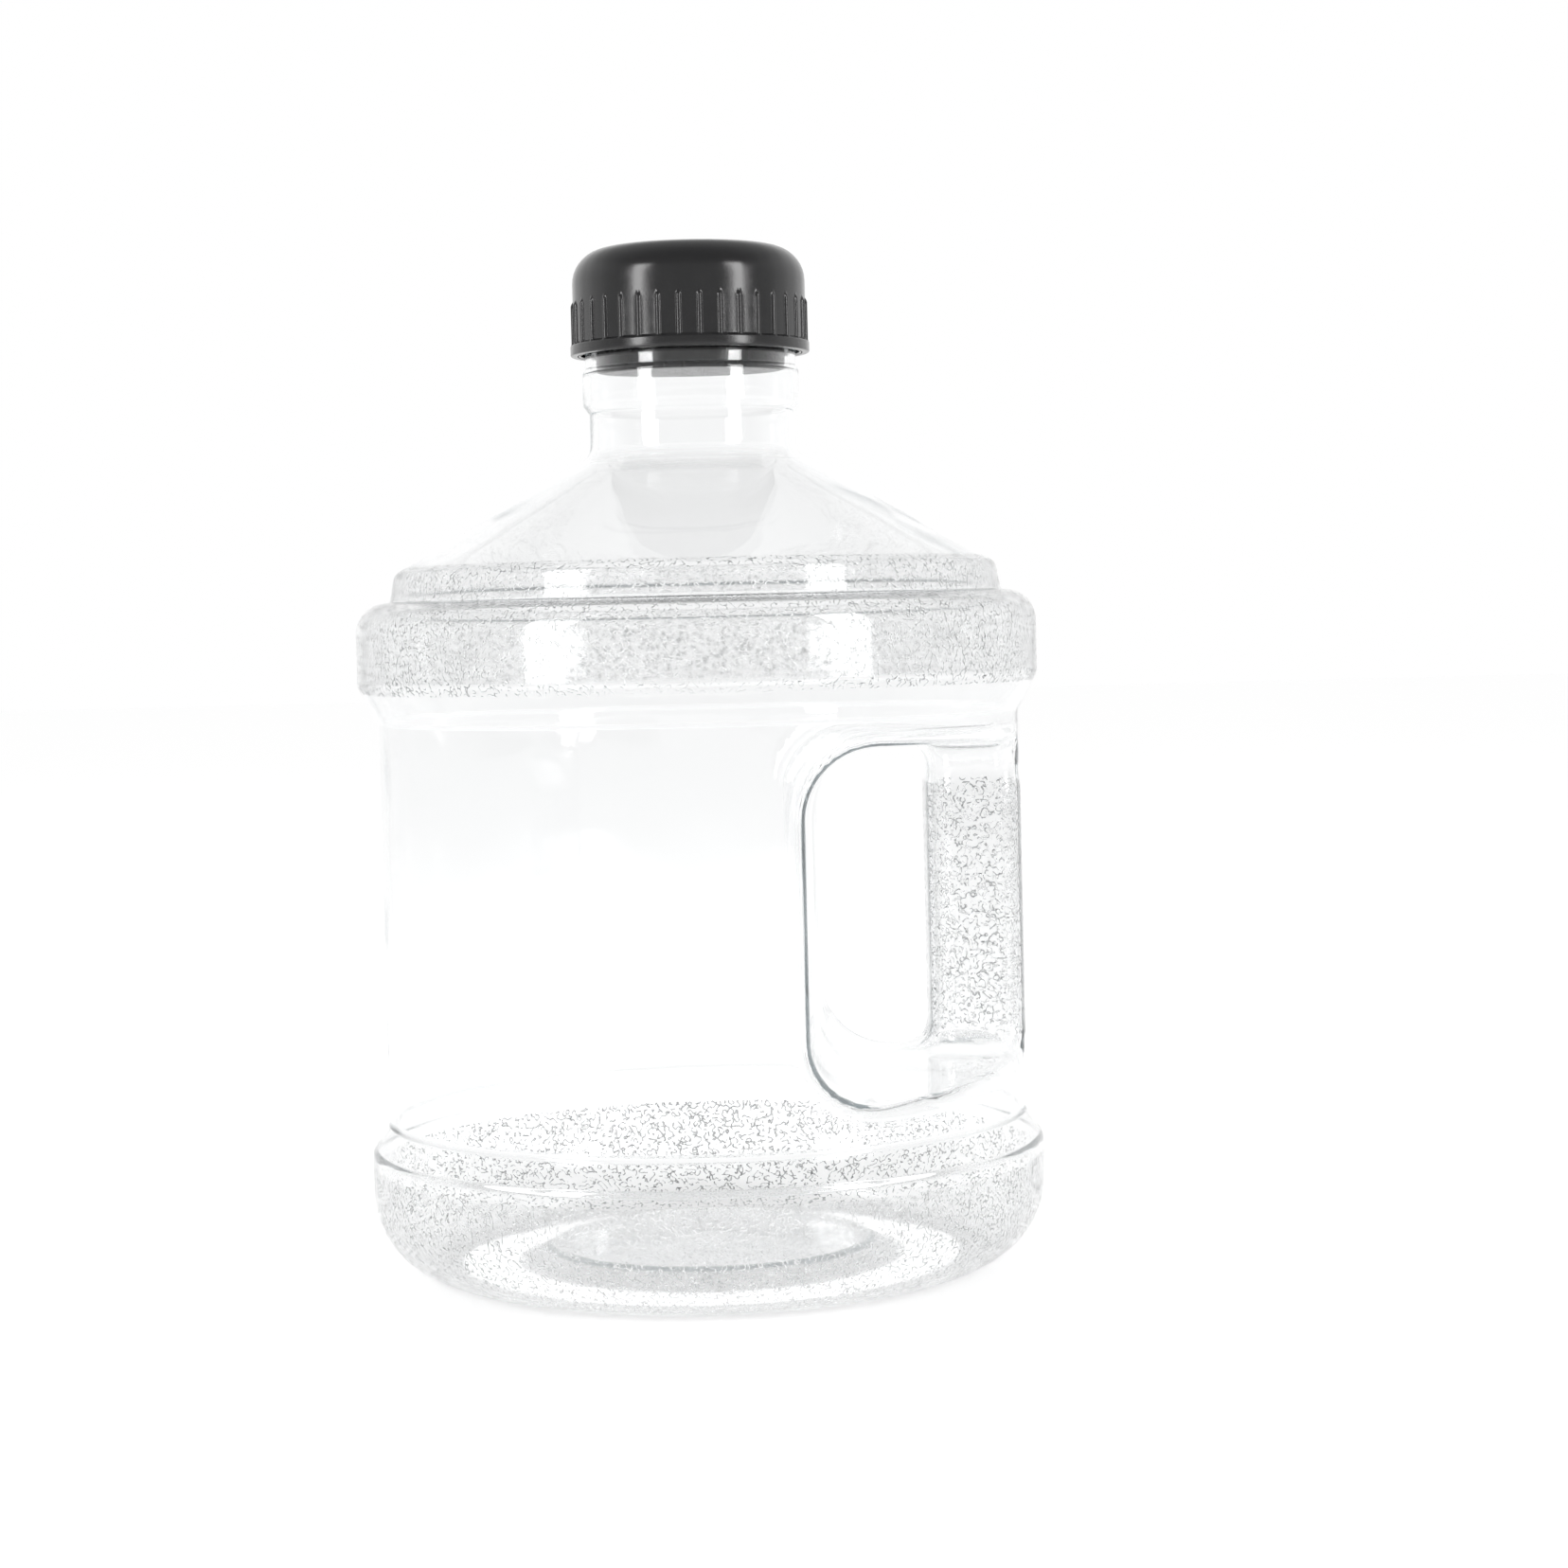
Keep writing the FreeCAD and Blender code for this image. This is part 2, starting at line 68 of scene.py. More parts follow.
# bottle
WALL = 1.5
BODY_R, BODY_LOW, BODY_TOP = RING_R - 5.0, 38.4, 138.0
BASE_R, BASE_BEVEL_LOW, BASE_CORNER = RING_R - 0.7, 31.4, 21.4
PUSH_UP_R, PUSH_UP_SHELF_R, PUSH_UP_SHELF_Z, PUSH_UP_Z = 48.0, 41.0, 4.5, 6.5
RING_LOW, RING_TOP, RING_ROUND = 147.4, 168.0, 7.6
UPPER_FOOT_R, UPPER_R, UPPER_TOP = 76.4, 75.2, 175.0
NECK_R, NECK_FOOT = 25.5, 203.5
BEAD_R, BEAD_FOOT, BEAD_LOW, BEAD_HIGH = 27.1, 213.9, 216.1, 224.0
COLLAR_R, COLLAR_LOW, COLLAR_HIGH = 26.4, 225.2, 229.4
FINISH_R, FINISH_LOW = 25.6, 230.2
BORE_R = NECK_R - WALL

# handle recess and handle; a pair is the size in the middle plane and at RECESS_REACH from it
ZONE_LOW, ZONE_HIGH = 40.0, 135.6
RECESS_REACH = 92.0
RECESS_LEFT = (29.7, 22.2)
RECESS_LOW = (54.5, 45.4)
RECESS_TOP = (130.5, 132.3)
RECESS_CORNER = 17.0
RECESS_EDGE = 3.0
CREASE_SOFTNESS = 3.0
HANDLE_IN = 56.6
HANDLE_HALF_DEPTH = 14.5
HANDLE_CORNER = 8.5
HANDLE_ROOT = 6.5
GRIP_LOW, GRIP_HIGH, GRIP_PROUD = 57.0, 120.2, 0.35

# screw thread
PITCH, THREAD_START, THREAD_TURNS = 5.0, 233.5, 2.0
THREAD_ROOT_W, THREAD_CREST_W = 2.6, 0.9
NECK_CREST_R = 27.0
CAP_CREST_R = 25.95

# cap
CAP_R, CAP_BORE_R, CAP_CEILING = 29.1, 27.35, 253.0
CAP_DOME, CAP_DISH_R, CAP_DISH_DEPTH = 8.6, 17.0, 0.3
FLANGE_TOP, FLANGE_BEVEL_TOP = 230.9, 231.6
CATCH_R, CATCH_LOW, CATCH_HIGH, CATCH_SLOPE = 25.2, 247.95, 248.35, 0.6
PRESS_OUT, PRESS_IN, PRESS_LOW = 24.0, 22.3, 250.3
RIB_COUNT, RIB_RADIUS, RIB_CENTRE_R = 36, 0.7, 28.95
RIB_LOW, RIB_TOP = 229.6, 241.6

# plug
PLUG_R, PLUG_BORE_R, PLUG_FLOOR, PLUG_LEAD = 23.6, 22.1, 1.5, 0.6
PLUG_LIP_R, PLUG_LIPS, PLUG_LIP_HALF = 23.85, (234.0, 240.0), 0.6
GASKET_IN = 23.7

# where the worm-grain texture starts and stops
GRAIN_BASE_TOP = 28.2
GRAIN_RING_LOW, GRAIN_RING_TOP = 145.6, 176.6

# mesh fineness
BOTTLE_COLUMNS = 210
ZONE_STEP = 1.85
SMALL_COLUMNS = 240
ARC_STEP = math.radians(9)
SMALL_ARC, SMALL_ARC_STEP = 1.2, math.radians(24)
SUPPORT = 0.4
# how near, in millimetres, a point is taken as lying on a face
SAME_FACE = 0.01

# ---------------------------------------------------------------- outlines and meshes


def rounded(corners):
    """Points along an outline of (radius, height, rounding) corners, each rounding an arc."""
    points = [np.array(corners[0][:2], float)]
    for before, (r, z, rounding), after in zip(corners, corners[1:], corners[2:]):
        here = np.array((r, z), float)
        if rounding == 0:
            points.append(here)
            continue
        back = np.array(before[:2]) - here
        ahead = np.array(after[:2]) - here
        back /= np.linalg.norm(back)
        ahead /= np.linalg.norm(ahead)
        half = math.acos(np.clip(back @ ahead, -1, 1)) / 2
        middle = (back + ahead) / np.linalg.norm(back + ahead)
        centre = here + middle * rounding / math.sin(half)
        start = here + back * rounding / math.tan(half) - centre
        end = here + ahead * rounding / math.tan(half) - centre
        sweep = math.pi - 2 * half
        steps = max(2, math.ceil(sweep / (ARC_STEP if rounding > SMALL_ARC else SMALL_ARC_STEP)))
        for k in range(steps + 1):
            share = k / steps
            from_start = math.sin((1 - share) * sweep) / math.sin(sweep)
            from_end = math.sin(share * sweep) / math.sin(sweep)
            points.append(centre + start * from_start + end * from_end)
    points.append(np.array(corners[-1][:2], float))
    return points


def outline_of(corners, longest=7.0, fine=None):
    """The rounded outline with long steps cut. fine is (low, high, step) for a finer stretch."""
    points = rounded(corners)
    result = [points[0]]
    for a, b in zip(points, points[1:]):
        length = np.linalg.norm(b - a)
        if length < 1e-6:
            continue
        step = longest
        if fine and min(a[1], b[1]) < fine[1] and max(a[1], b[1]) > fine[0]:
            step = fine[2]
        stops = []
        if length > 1.5 * step:
            count = max(1, math.ceil((length - 2 * SUPPORT) / step))
            stops = [SUPPORT + (length - 2 * SUPPORT) * k / count for k in range(count + 1)]
        result += [a + (b - a) * stop / length for stop in stops]
        result.append(b)
    return result


def even_angles(columns):
    """Angles of the columns of a spun skin."""
    return (np.arange(columns) + 0.5) * TURN / columns


# the mesh attribute that is 1 on the bottle's outer skin, where the texture is, and 0 elsewhere
OUTSIDE = "outside"


class Net:
    """Vertices and faces that grow, skin by skin, into one mesh."""

    def __init__(self):
        self.points = []
        self.count = 0
        self.faces = []
        self.outside = []
        self.on_outside = False

    def add_points(self, points):
        """Adds vertices and returns their numbers."""
        self.points.append(np.asarray(points, float).reshape(-1, 3))
        start = self.count
        self.count += len(self.points[-1])
        self.outside += [float(self.on_outside)] * len(self.points[-1])
        return np.arange(start, self.count)

    def add_faces(self, faces):
        """Adds faces of three or four corners."""
        self.faces += np.asarray(faces, int).tolist()

    def strip(self, row_a, row_b):
        """Quads between two closed rows, or triangles where one row is a single point."""
        if len(row_a) == 1:
            row_a, row_b = row_b, row_a
        if len(row_b) == 1:
            tip = np.full(len(row_a), row_b[0])
            self.add_faces(np.stack([row_a, np.roll(row_a, -1), tip], axis=1))
            return
        self.add_faces(np.stack([row_a, np.roll(row_a, -1), np.roll(row_b, -1), row_b], axis=1))

    def spin(self, outline, angles, swell=None, closed=False):
        """Turns an outline round Z. swell(angles, r, z) moves the radius. Returns the end rows."""
        rows = []
        for r, z in outline:
            if r < 1e-6:
                rows.append(self.add_points([(0, 0, z)]))
                continue
            radius = r + (swell(angles, r, z) if swell else np.zeros_like(angles))
            heights = np.full_like(angles, z)
            circle = np.stack([radius * np.cos(angles), radius * np.sin(angles), heights], axis=1)
            rows.append(self.add_points(circle))
        for a, b in zip(rows, rows[1:]):
            self.strip(a, b)
        if closed:
            self.strip(rows[-1], rows[0])
        return rows[0], rows[-1]

    def piece(self, name, body, node, slot, material):
        """Makes the object: metres, outward normals, smooth faces. It stands for a CAD node."""
        mesh = bpy.data.meshes.new(name)
        mesh.from_pydata((np.concatenate(self.points) * MM).tolist(), [], self.faces)
        mesh.materials.append(material)
        mesh.attributes.new(OUTSIDE, "FLOAT", "POINT").data.foreach_set("value", self.outside)
        work = bmesh.new()
        work.from_mesh(mesh)
        bmesh.ops.recalc_face_normals(work, faces=work.faces)
        work.to_mesh(mesh)
        work.free()
        mesh.shade_smooth()
        piece = bpy.data.objects.new(name, mesh)
        bpy.context.scene.collection.objects.link(piece)
        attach(piece, body)
        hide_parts(node)
        return piece


def window(value, low, high, soft):
    """1 from low to high and 0 outside, over a soft step."""
    return np.clip((value - low) / soft + 0.5, 0, 1) * np.clip((high - value) / soft + 0.5, 0, 1)


def thread_ridge(start_angle, height):
    """A swell for a right-hand thread that stands out by height, or in where it is below 0."""
    slope = (THREAD_ROOT_W - THREAD_CREST_W) / 2

    def swell(angles, r, z):
        share = np.zeros_like(angles)
        for lap in range(math.ceil(THREAD_TURNS)):
            along = ((angles - start_angle) % TURN) / TURN + lap
            flank = (THREAD_ROOT_W / 2 - np.abs(z - THREAD_START - PITCH * along)) / slope
            ends = np.clip(along / 0.03, 0, 1) * np.clip((THREAD_TURNS - along) / 0.03, 0, 1)
            share = np.maximum(share, np.clip(flank, 0, 1) * ends)
        return height * share * share * (3 - 2 * share)

    return swell


# ---------------------------------------------------------------- handle recess


def round_meet(a, b, radius):
    """Distance from what lies inside two shapes, with their common edge rounded."""
    corner = np.hypot(np.maximum(a + radius, 0), np.maximum(b + radius, 0))
    return corner + np.minimum(np.maximum(a, b), -radius)


def round_box(across, along, radius):
    """Distance from a rectangle with round corners, from the signed distances to its sides."""
    across = across + radius
    along = along + radius
    corner = np.hypot(np.maximum(across, 0), np.maximum(along, 0))
    return corner + np.minimum(np.maximum(across, along), 0) - radius


def bottle_distance(x, y, z):
    """Signed distance from the bottle's outer face in the zone of the handle, below 0 inside."""
    spread = np.sqrt(y * y + CREASE_SOFTNESS**2) / RECESS_REACH
    left, low, top = (a + (b - a) * spread for a, b in (RECESS_LEFT, RECESS_LOW, RECESS_TOP))
    recess = round_box(left - x, np.abs(z - (low + top) / 2) - (top - low) / 2, RECESS_CORNER)
    grip = window(z, GRIP_LOW, GRIP_HIGH, 0.8) * GRIP_PROUD
    half_width = (BODY_R - HANDLE_IN) / 2 + 1
    side_x = np.abs(x - HANDLE_IN - half_width) - half_width
    side_y = np.abs(y) - HANDLE_HALF_DEPTH
    handle = round_box(side_x, side_y, HANDLE_CORNER) - grip
    void = round_meet(recess, -handle, HANDLE_ROOT)
    on_handle = (x > HANDLE_IN) & (np.abs(y) < HANDLE_HALF_DEPTH + 2)
    return round_meet(np.hypot(x, y) - BODY_R - np.where(on_handle, grip, 0), -void, RECESS_EDGE)


def settle(field, points, rounds):
    """Moves points onto a field's zero surface."""
    step = 0.05
    for _ in range(rounds):
        slope = np.zeros_like(points)
        for axis in range(3):
            nudge = np.zeros(3)
            nudge[axis] = step
            slope[:, axis] = (field(*(points + nudge).T) - field(*(points - nudge).T)) / (2 * step)
        steepness = np.maximum((slope**2).sum(axis=1), 0.2)
        points = points - slope * (field(*points.T) / steepness)[:, None]
    return points


def relaxed(field, points, faces, fixed, rounds=5):
    """Evens out the quads along a field's zero surface."""
    pairs = np.concatenate([faces[:, [k, (k + 1) % 4]] for k in range(4)])
    pairs = np.concatenate([pairs, pairs[:, ::-1]])
    count = np.bincount(pairs[:, 0], minlength=len(points))[:, None]
    for _ in range(rounds):
        total = np.zeros_like(points)
        np.add.at(total, pairs[:, 0], points[pairs[:, 1]])
        moved = (points + total / np.maximum(count, 1)) / 2
        moved[fixed] = points[fixed]
        points = settle(field, moved, 2)
    return points


def zone_skin(net, field):
    """A field's zero surface in the handle's zone, as quads that a round grid gives.

    Every grid cell that the surface crosses gets one vertex, and every grid edge that it
    crosses gets one quad. Returns the highest and lowest rows, one vertex for each column."""
    radii = np.arange(22.0, RING_R, ZONE_STEP)
    heights = np.linspace(ZONE_LOW, ZONE_HIGH, round((ZONE_HIGH - ZONE_LOW) / ZONE_STEP) + 1)
    turn = np.arange(BOTTLE_COLUMNS) * TURN / BOTTLE_COLUMNS
    t, r, z = np.meshgrid(turn, radii, heights, indexing="ij")
    value = field(r * np.cos(t), r * np.sin(t), z)
    shape = (BOTTLE_COLUMNS, len(radii) - 1, len(heights) - 1)

    def corner(di, dj, dk):
        """The field at one corner of every cell."""
        return np.roll(value, -di, axis=0)[:, dj : dj + shape[1], dk : dk + shape[2]]

    total = np.zeros((*shape, 3))
    hits = np.zeros(shape, int)
    for axis in range(3):
        for side in ((0, 0), (0, 1), (1, 0), (1, 1)):
            start = list(side)
            start.insert(axis, 0)
            end = list(side)
            end.insert(axis, 1)
            a, b = corner(*start), corner(*end)
            crossed = (a < 0) != (b < 0)
            place = np.zeros((*shape, 3)) + start
            place[..., axis] = a / np.where(crossed, a - b, 1)
            total += place * crossed[..., None]
            hits += crossed
    cells = np.argwhere(hits)
    at = tuple(cells.T)
    number = np.full(shape, -1)
    number[at] = np.arange(len(cells))
    inner = total[at] / hits[at][:, None]
    is_top = cells[:, 2] == shape[2] - 1
    is_low = cells[:, 2] == 0
    inner[is_top | is_low] = 0.5
    angle = (cells[:, 0] + inner[:, 0]) * TURN / BOTTLE_COLUMNS
    radius = radii[0] + (cells[:, 1] + inner[:, 1]) * (radii[1] - radii[0])
    height = heights[0] + (cells[:, 2] + inner[:, 2]) * (heights[1] - heights[0])
    points = np.stack([radius * np.cos(angle), radius * np.sin(angle), height], axis=1)

    sign = value < 0
    flips = [sign != np.roll(sign, -1, axis=0), np.diff(sign, axis=1), np.diff(sign, axis=2)]
    faces = []
    for axis, flip in enumerate(flips):
        edges = np.argwhere(flip)
        first, second = [k for k in range(3) if k != axis]
        around = np.repeat(edges[:, None, :], 4, axis=1)
        around[:, [1, 2], first] -= 1
        around[:, [2, 3], second] -= 1
        around[:, :, 0] %= BOTTLE_COLUMNS
        within = (around >= 0) & (around < shape)
        around = around[within.all(axis=(1, 2))]
        faces.append(number[tuple(np.moveaxis(around, 2, 0))])
    faces = np.concatenate(faces)
    points = relaxed(field, settle(field, points, 4), faces, is_top | is_low)
    numbers = net.add_points(points)
    net.add_faces(numbers[faces])
    return [numbers[chosen][np.argsort(cells[chosen, 0])] for chosen in (is_top, is_low)]


# ---------------------------------------------------------------- pieces


def make_bottle(material):
    """The bottle: one closed skin, from the rim down inside and down outside to the base."""
    net = Net()
    angles = even_angles(BOTTLE_COLUMNS)
    cone_drop = WALL * math.hypot(UPPER_R - NECK_R, NECK_FOOT - UPPER_TOP) / (UPPER_R - NECK_R)
    inside_top = [
        (BODY_R - WALL, ZONE_HIGH, 0),
        (BODY_R - WALL, BODY_TOP + 0.4, 3.5),
        (RING_R - WALL, RING_LOW + 0.4, 1.5),
        (RING_R - WALL, RING_TOP - WALL, RING_ROUND - WALL),
        (UPPER_FOOT_R - WALL, RING_TOP - WALL, 2.0),
        (UPPER_R - WALL, UPPER_TOP - 0.4, 2.0),
        (BORE_R, NECK_FOOT - cone_drop + 0.9, 6.5),
        (BORE_R, BEAD_FOOT + 0.3, 0.8),
        (BEAD_R - WALL, BEAD_LOW + 0.3, 0.8),
        (BEAD_R - WALL, BEAD_HIGH - 0.5, 1.6),
        (COLLAR_R - WALL, COLLAR_LOW - 0.3, 1.0),
        (COLLAR_R - WALL, COLLAR_HIGH - 0.5, 1.0),
        (FINISH_R - WALL, FINISH_LOW - 0.3, 1.0),
        (FINISH_R - WALL, RIM_Z, 0.5),
        (FINISH_R - WALL / 2, RIM_Z, 0),
    ]
    outside_top = [
        (FINISH_R - WALL / 2, RIM_Z, 0),
        (FINISH_R, RIM_Z, 0.5),
        (FINISH_R, FINISH_LOW, 0.5),
        (COLLAR_R, COLLAR_HIGH, 0.5),
        (COLLAR_R, COLLAR_LOW, 0.8),
        (BEAD_R, BEAD_HIGH, 1.0),
        (BEAD_R, BEAD_LOW, 2.0),
        (NECK_R, BEAD_FOOT, 0.8),
        (NECK_R, NECK_FOOT, 5.0),
        (UPPER_R, UPPER_TOP, 3.0),
        (UPPER_FOOT_R, RING_TOP, 0.9),
        (RING_R, RING_TOP, RING_ROUND),
        (RING_R, RING_LOW, 2.5),
        (BODY_R, BODY_TOP, 2.0),
        (BODY_R, ZONE_HIGH, 0),
    ]
    outside_base = [
        (BODY_R, ZONE_LOW, 0),
        (BODY_R, BODY_LOW, 2.0),
        (BASE_R, BASE_BEVEL_LOW, 3.0),
        (BASE_R, 0, BASE_CORNER),
        (PUSH_UP_R, 0, 3.0),
        (PUSH_UP_SHELF_R, PUSH_UP_SHELF_Z, 3.0),
        (0, PUSH_UP_Z, 0),
    ]
    inside_base = [
        (BODY_R - WALL, ZONE_LOW, 0),
        (BODY_R - WALL, BODY_LOW + 0.5, 3.5),
        (BASE_R - WALL, BASE_BEVEL_LOW + 0.5, 1.5),
        (BASE_R - WALL, WALL, BASE_CORNER - WALL),
        (PUSH_UP_R - 0.5, WALL, 4.0),
        (PUSH_UP_SHELF_R - 0.5, PUSH_UP_SHELF_Z + WALL, 3.0),
        (0, PUSH_UP_Z + WALL, 0),
    ]
    ridge = thread_ridge(0, NECK_CREST_R - FINISH_R)
    on_thread = (THREAD_START - 2, THREAD_START + PITCH * THREAD_TURNS + 2, 0.5)

    def inside_distance(x, y, z):
        """Signed distance from the bottle's inner face."""
        return bottle_distance(x, y, z) + WALL

    def finish_only(turn, r, z):
        """The thread's ridge, on the finish's outer face alone."""
        return ridge(turn, r, z) * (z > FINISH_LOW) * (r > FINISH_R - SAME_FACE)

    low_inside, rim_inside = net.spin(outline_of(inside_top), angles)
    inner_top, inner_low = zone_skin(net, inside_distance)
    base_inside, _ = net.spin(outline_of(inside_base), angles)
    net.strip(low_inside, inner_top)
    net.strip(inner_low, base_inside)
    net.on_outside = True
    rim_outside, low_outside = net.spin(outline_of(outside_top, fine=on_thread), angles, finish_only)
    outer_top, outer_low = zone_skin(net, bottle_distance)
    base_outside, _ = net.spin(outline_of(outside_base), angles)
    net.strip(rim_inside, rim_outside)
    net.strip(low_outside, outer_top)
    net.strip(outer_low, base_outside)
    return net.piece("clear_bottle", "bottle", "bottle_body", "clear_plastic", material)


def rib_angles():
    """Columns of the cap: close together across each rib, and a few between ribs."""
    pitch = TURN / RIB_COUNT
    across = np.array([0, 0.27, 0.48, 0.61, 0.68, 0.8, 1.6]) / CAP_R
    across = np.concatenate([-across[:0:-1], across])
    return np.concatenate([(k + 0.5) * pitch + across for k in range(RIB_COUNT)])


def rib_swell(angles, r, z):
    """How far the ribs stand out of the cap's wall: each is a round bar with round ends."""
    if r < CAP_R - SAME_FACE:
        return np.zeros_like(angles)
    pitch = TURN / RIB_COUNT
    aside = (np.abs((angles % pitch) - pitch / 2)) * CAP_R
    past_end = max(z - RIB_TOP + RIB_RADIUS, RIB_LOW + RIB_RADIUS - z, 0)
    height = np.sqrt(np.maximum(RIB_RADIUS**2 - aside**2 - past_end**2, 0))
    return np.maximum(RIB_CENTRE_R + height - r, 0) * (height > 0)


def make_cap(material):
    """The cap: dome, ribbed wall and flange outside; thread, catch and pressing ring inside."""
    net = Net()
    angles = rib_angles()
    outside = [
        (0, CAP_TOP - CAP_DISH_DEPTH, 0),
        (CAP_DISH_R, CAP_TOP - CAP_DISH_DEPTH, 0.8),
        (CAP_DISH_R + 0.6, CAP_TOP, 0.8),
        (CAP_R, CAP_TOP, CAP_DOME),
        (CAP_R, FLANGE_BEVEL_TOP, 0.3),
        (FLANGE_R, FLANGE_TOP, 0.25),
        (FLANGE_R, CAP_LOW, 0.35),
        (CAP_BORE_R + 0.8, CAP_LOW, 0),
    ]
    inside = [
        (CAP_BORE_R + 0.8, CAP_LOW, 0),
        (CAP_BORE_R, CAP_LOW, 0.3),
        (CAP_BORE_R, CATCH_LOW - CATCH_SLOPE, 0.4),
        (CATCH_R, CATCH_LOW, 0.15),
        (CATCH_R, CATCH_HIGH, 0.15),
        (CAP_BORE_R, CATCH_HIGH + CATCH_SLOPE, 0.4),
        (CAP_BORE_R, CAP_CEILING, 3.0),
        (PRESS_OUT, CAP_CEILING, 0.3),
        (PRESS_OUT, PRESS_LOW, 0.4),
        (PRESS_IN, PRESS_LOW, 0.4),
        (PRESS_IN, CAP_CEILING, 0.3),
        (0, CAP_CEILING, 0),
    ]
    ridge = thread_ridge(math.pi, CAP_CREST_R - CAP_BORE_R)

    def wall_only(turn, r, z):
        """The thread's ridge, on the bore's wall alone."""
        return ridge(turn, r, z) * (abs(r - CAP_BORE_R) < SAME_FACE)

    on_ribs = (FLANGE_BEVEL_TOP, RIB_TOP + 1, 0.6)
    on_thread = (THREAD_START - 2, THREAD_START + PITCH * THREAD_TURNS + 2, 0.5)
    _, edge_outside = net.spin(outline_of(outside, 4.0, on_ribs), angles, rib_swell)
    edge_inside, _ = net.spin(outline_of(inside, 4.0, on_thread), angles, wall_only)
    net.strip(edge_outside, edge_inside)
    return net.piece("ribbed_cap", "cap", "cap_shell", "cap_plastic", material)


def make_plug(material):
    """The plug: a cup with a floor, two wiping lips and a flange over the rim."""
    net = Net()
    outline = [
        (0, PLUG_LOW, 0),
        (PLUG_R - PLUG_LEAD, PLUG_LOW, 0.3),
        (PLUG_R, PLUG_LOW + 2 * PLUG_LEAD, 0.5),
    ]
    for lip in PLUG_LIPS:
        outline.append((PLUG_R, lip - PLUG_LIP_HALF, 0.2))
        outline.append((PLUG_LIP_R, lip, 0.3))
        outline.append((PLUG_R, lip + PLUG_LIP_HALF, 0.2))
    outline += [
        (PLUG_R, GASKET_TOP, 0.2),
        (PLUG_FLANGE_R, GASKET_TOP, 0.25),
        (PLUG_FLANGE_R, PLUG_TOP, 0.35),
        (PLUG_BORE_R, PLUG_TOP, 0.35),
        (PLUG_BORE_R - PLUG_LEAD / 2, PLUG_LOW + PLUG_FLOOR, 0.8),
        (0, PLUG_LOW + PLUG_FLOOR, 0),
    ]
    net.spin(outline_of(outline, 2.0), even_angles(SMALL_COLUMNS))
    return net.piece("plug_cup", "plug", "inner_plug", "plug_plastic", material)


def make_gasket(material):
    """The gasket: a flat ring with soft edges."""
    net = Net()
    middle = (GASKET_IN + GASKET_R) / 2
    outline = [
        (middle, GASKET_LOW, 0),
        (GASKET_R, GASKET_LOW, 0.3),
        (GASKET_R, GASKET_TOP, 0.3),
        (GASKET_IN, GASKET_TOP, 0.3),
        (GASKET_IN, GASKET_LOW, 0.3),
        (middle, GASKET_LOW, 0),
    ]
    net.spin(outline_of(outline)[:-1], even_angles(SMALL_COLUMNS), closed=True)
    return net.piece("gasket_ring", "plug", "rim_gasket", "gasket_rubber", material)


# ---------------------------------------------------------------- materials


class Shader:
    """A node material with a Principled shader, and short ways to add nodes to it."""

    def __init__(self, name):
        self.material = bpy.data.materials.new(name)
        self.material.use_nodes = True
        self.tree = self.material.node_tree
        self.principled = next(n for n in self.tree.nodes if n.type == "BSDF_PRINCIPLED")
        self.output = next(n for n in self.tree.nodes if n.type == "OUTPUT_MATERIAL")
        self.place = self.add("ShaderNodeTexCoord").outputs["Object"]

    def add(self, kind, **settings):
        """Adds a node. Settings are its properties."""
        node = self.tree.nodes.new(kind)
        for key, value in settings.items():
            setattr(node, key, value)
        return node

    def link(self, source, target):
        """Joins an output to an input, or sets a plain value on it."""
        if isinstance(source, bpy.types.NodeSocket):
            self.tree.links.new(source, target)
        else:
            target.default_value = source

    def math(self, operation, a, b=0.0, c=0.0, clamp=False):
        """A Math node's result."""
        node = self.add("ShaderNodeMath", operation=operation, use_clamp=clamp)
        for socket, value in zip(node.inputs, (a, b, c)):
            self.link(value, socket)
        return node.outputs[0]

    def noise(self, size, detail=2.0, rough=0.5, at=None):
        """Noise from 0 to 1 with features of about that size in millimetres."""
        node = self.add("ShaderNodeTexNoise")
        self.link(at or self.place, node.inputs["Vector"])
        node.inputs["Scale"].default_value = 1 / (size * MM)
        node.inputs["Detail"].default_value = detail
        node.inputs["Roughness"].default_value = rough
        return node.outputs["Fac"]

    def step(self, value, edge, soft):
        """0 below edge and 1 above it, over a soft step."""
        return self.math("MULTIPLY_ADD", value, 1 / soft, 0.5 - edge / soft, clamp=True)

    def band(self, value, low, high, soft):
        """1 from low to high and 0 outside, over soft steps."""
        below = self.math("SUBTRACT", 1.0, self.step(value, high, soft))
        return self.math("MULTIPLY", self.step(value, low, soft), below)

    def ranged(self, value, low, high):
        """A value from 0 to 1 spread from low to high."""
        return self.math("MULTIPLY_ADD", value, high - low, low)

    def bump(self, height, depth, below=None):
        """A bump of that depth in millimetres. Returns its normal."""
        node = self.add("ShaderNodeBump")
        node.inputs["Strength"].default_value = 1.0
        node.inputs["Distance"].default_value = depth * MM
        self.link(height, node.inputs["Height"])
        if below is not None:
            self.link(below, node.inputs["Normal"])
        return node.outputs[0]

    def set(self, **values):
        """Sets or links the Principled shader's sockets by their names, with _ for a space."""
        for key, value in values.items():
            self.link(value, self.principled.inputs[key.replace("_", " ")])


WAVE_DEPTH = 0.25
ABSORPTION = 26.0
CLEAR_TINT = (0.983, 0.985, 0.986, 1)
# painted shade: the grey that the worms, and more faintly the whole grained bands, get in their colour
# in place of the shade their bumps throw by refraction
GRAIN_PAINTED_SHADE = (0.64, 0.645, 0.65, 1)
BAND_PAINTED_SHADE = 0.14
CLEAR_ROUGHNESS, GRAIN_FROST = 0.02, 0.05
GRAIN_EDGE = 0.25
GRAIN_DEPTH = 0.6
WORM_SIZE = 1.4
WORM_HALF_WIDTH = 0.05


